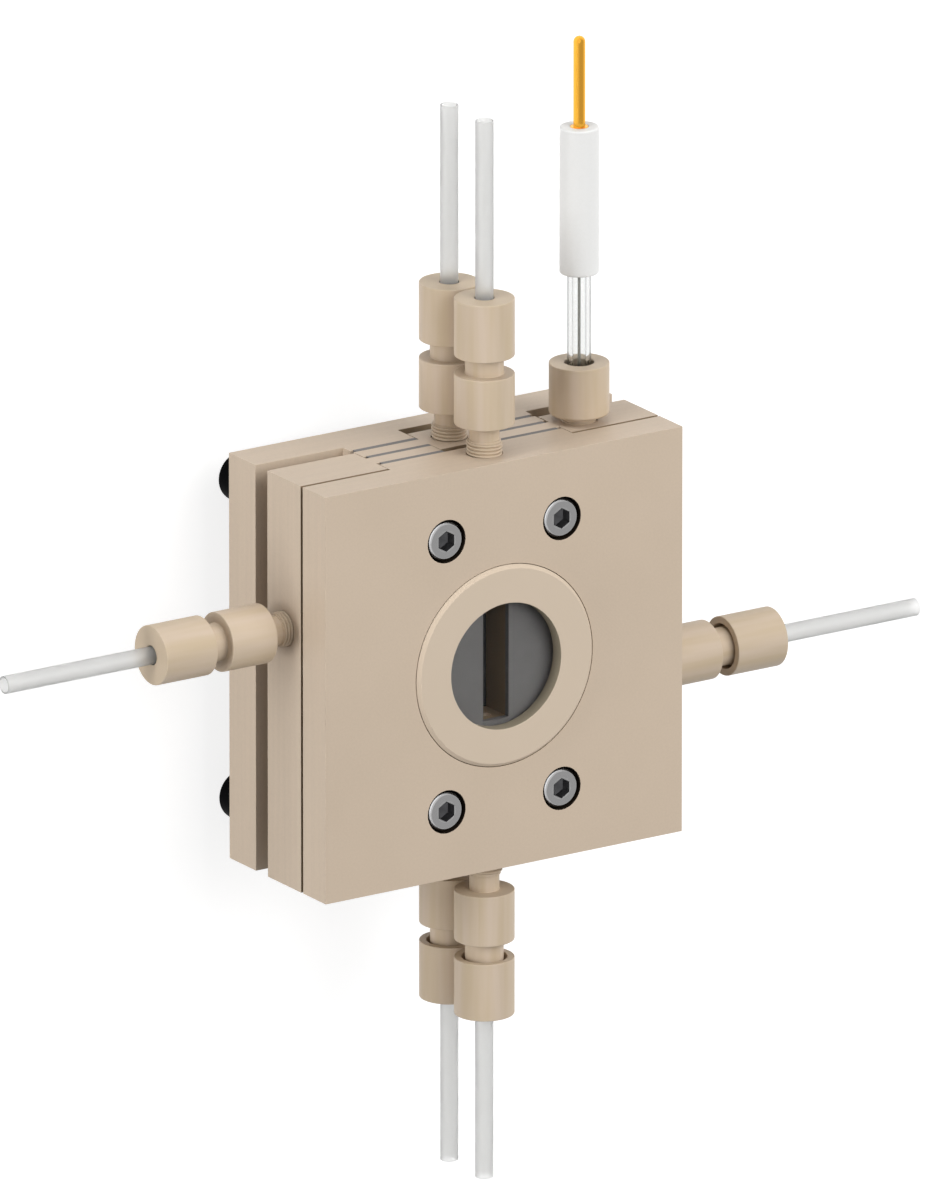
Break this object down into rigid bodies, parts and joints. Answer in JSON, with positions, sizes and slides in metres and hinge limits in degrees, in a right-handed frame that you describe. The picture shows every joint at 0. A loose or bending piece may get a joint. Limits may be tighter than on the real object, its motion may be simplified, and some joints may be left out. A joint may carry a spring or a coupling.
{
  "type": "electrochemical flow cell",
  "caption": "Flat square cell of stacked plastic plates with a round glass window, tube fittings on its edges, a reference electrode and knobs at its back.",
  "frame": {"origin": "centre of the window, on the axis of the ring's bore, in the plane of the front face", "axes": "+Z out of the window, +Y to the reference electrode's side (top), +X to the right seen from the front. The cell lies on the knobs at its back, which end at z = -37.4 mm"},
  "size_m": [0.179, 0.1912, 0.038],
  "materials": {
    "plates": "machined, matte",
    "fittings": "turned, satin",
    "seals": "matte silicone rubber",
    "carbon_sheet": "matte carbon paper",
    "membrane": "smooth film",
    "metal_sheet": "satin",
    "window": "polished",
    "steel": "satin",
    "knobs": "satin",
    "ferrules": "smooth",
    "tubes": "translucent, satin",
    "glass_tube": "polished",
    "frit": "porous, matte",
    "wire": "dull silver",
    "sleeve": "satin",
    "gold": "gold plated, polished"
  },
  "bodies": {
    "cell": {"front_plate": "plates", "front_gasket": "seals", "middle_plate": "plates", "middle_gasket": "seals", "insert_plate": "plates", "rear_gasket": "seals", "back_plate": "plates", "window_glass": "window", "window_gasket": "seals", "gas_diffusion_electrode": "carbon_sheet", "membrane": "membrane", "counter_electrode": "metal_sheet", "front_screws": "steel", "reference_seal": "seals", "adapter_top_front": "fittings", "adapter_top_rear": "fittings", "adapter_bottom_front": "fittings", "adapter_bottom_rear": "fittings", "adapter_left": "fittings", "adapter_right": "fittings"},
    "line_top_front": {"tube_top_front": "tubes", "ferrule_top_front": "ferrules"},
    "nut_top_front": {"cap_nut_top_front": "fittings"},
    "line_top_rear": {"tube_top_rear": "tubes", "ferrule_top_rear": "ferrules"},
    "nut_top_rear": {"cap_nut_top_rear": "fittings"},
    "line_bottom_front": {"tube_bottom_front": "tubes", "ferrule_bottom_front": "ferrules"},
    "nut_bottom_front": {"cap_nut_bottom_front": "fittings"},
    "line_bottom_rear": {"tube_bottom_rear": "tubes", "ferrule_bottom_rear": "ferrules"},
    "nut_bottom_rear": {"cap_nut_bottom_rear": "fittings"},
    "line_left": {"tube_left": "tubes", "ferrule_left": "ferrules"},
    "nut_left": {"cap_nut_left": "fittings"},
    "line_right": {"tube_right": "tubes", "ferrule_right": "ferrules"},
    "nut_right": {"cap_nut_right": "fittings"},
    "reference_nut": {"reference_nut": "fittings"},
    "reference_electrode": {"electrode_glass": "glass_tube", "electrode_frit": "frit", "electrode_wire": "wire", "electrode_sleeve": "sleeve", "electrode_pin": "gold"},
    "clamp_screw_top_left": {"clamp_knob_top_left": "knobs", "clamp_stud_top_left": "steel"},
    "clamp_screw_top_right": {"clamp_knob_top_right": "knobs", "clamp_stud_top_right": "steel"},
    "clamp_screw_bottom_left": {"clamp_knob_bottom_left": "knobs", "clamp_stud_bottom_left": "steel"},
    "clamp_screw_bottom_right": {"clamp_knob_bottom_right": "knobs", "clamp_stud_bottom_right": "steel"},
    "window_ring": {"window_ring": "fittings"}
  },
  "joints": [
    {"name": "line_top_front_slide", "type": "slide", "parent": "cell", "child": "line_top_front", "axis": [0, 1, 0], "range_m": [0, 0.004]},
    {"name": "nut_top_front_turn", "type": "hinge", "parent": "line_top_front", "child": "nut_top_front", "pos_m": [0, 0.055, -0.006], "axis": [0, 1, 0], "range_deg": [0, 1440]},
    {"name": "line_top_rear_slide", "type": "slide", "parent": "cell", "child": "line_top_rear", "axis": [0, 1, 0], "range_m": [0, 0.004]},
    {"name": "nut_top_rear_turn", "type": "hinge", "parent": "line_top_rear", "child": "nut_top_rear", "pos_m": [0, 0.055, -0.0165], "axis": [0, 1, 0], "range_deg": [0, 1440]},
    {"name": "line_bottom_front_slide", "type": "slide", "parent": "cell", "child": "line_bottom_front", "axis": [0, -1, 0], "range_m": [0, 0.004]},
    {"name": "nut_bottom_front_turn", "type": "hinge", "parent": "line_bottom_front", "child": "nut_bottom_front", "pos_m": [0, -0.055, -0.006], "axis": [0, -1, 0], "range_deg": [0, 1440]},
    {"name": "line_bottom_rear_slide", "type": "slide", "parent": "cell", "child": "line_bottom_rear", "axis": [0, -1, 0], "range_m": [0, 0.004]},
    {"name": "nut_bottom_rear_turn", "type": "hinge", "parent": "line_bottom_rear", "child": "nut_bottom_rear", "pos_m": [0, -0.055, -0.0165], "axis": [0, -1, 0], "range_deg": [0, 1440]},
    {"name": "line_left_slide", "type": "slide", "parent": "cell", "child": "line_left", "axis": [-1, 0, 0], "range_m": [0, 0.004]},
    {"name": "nut_left_turn", "type": "hinge", "parent": "line_left", "child": "nut_left", "pos_m": [-0.05425, 0.0092, -0.0124], "axis": [-1, 0, 0], "range_deg": [0, 1440]},
    {"name": "line_right_slide", "type": "slide", "parent": "cell", "child": "line_right", "axis": [1, 0, 0], "range_m": [0, 0.004]},
    {"name": "nut_right_turn", "type": "hinge", "parent": "line_right", "child": "nut_right", "pos_m": [0.05425, -0.0092, -0.0124], "axis": [1, 0, 0], "range_deg": [0, 1440]},
    {"name": "reference_nut_turn", "type": "hinge", "parent": "cell", "child": "reference_nut", "pos_m": [0.0228, 0.038, -0.0124], "axis": [0, 1, 0], "range_deg": [0, 1296]},
    {"name": "reference_electrode_slide", "type": "slide", "parent": "cell", "child": "reference_electrode", "axis": [0, 1, 0], "range_m": [0, 0.03]},
    {"name": "clamp_screw_top_left_turn", "type": "hinge", "parent": "cell", "child": "clamp_screw_top_left", "pos_m": [-0.0275, 0.0275, -0.033], "axis": [0, 0, -1], "range_deg": [0, 3240]},
    {"name": "clamp_screw_top_right_turn", "type": "hinge", "parent": "cell", "child": "clamp_screw_top_right", "pos_m": [0.0275, 0.0275, -0.033], "axis": [0, 0, -1], "range_deg": [0, 3240]},
    {"name": "clamp_screw_bottom_left_turn", "type": "hinge", "parent": "cell", "child": "clamp_screw_bottom_left", "pos_m": [-0.0275, -0.0275, -0.033], "axis": [0, 0, -1], "range_deg": [0, 3240]},
    {"name": "clamp_screw_bottom_right_turn", "type": "hinge", "parent": "cell", "child": "clamp_screw_bottom_right", "pos_m": [0.0275, -0.0275, -0.033], "axis": [0, 0, -1], "range_deg": [0, 3240]},
    {"name": "window_ring_turn", "type": "hinge", "parent": "cell", "child": "window_ring", "pos_m": [0, 0, 0], "axis": [0, 0, 1], "range_deg": [0, 684]}
  ],
  "couplings": [
    {"joint": "nut_top_front_turn", "follows": "line_top_front_slide", "rad_per_m": 6283.2},
    {"joint": "nut_top_rear_turn", "follows": "line_top_rear_slide", "rad_per_m": 6283.2},
    {"joint": "nut_bottom_front_turn", "follows": "line_bottom_front_slide", "rad_per_m": 6283.2},
    {"joint": "nut_bottom_rear_turn", "follows": "line_bottom_rear_slide", "rad_per_m": 6283.2},
    {"joint": "nut_left_turn", "follows": "line_left_slide", "rad_per_m": 6283.2},
    {"joint": "nut_right_turn", "follows": "line_right_slide", "rad_per_m": 6283.2}
  ]
}
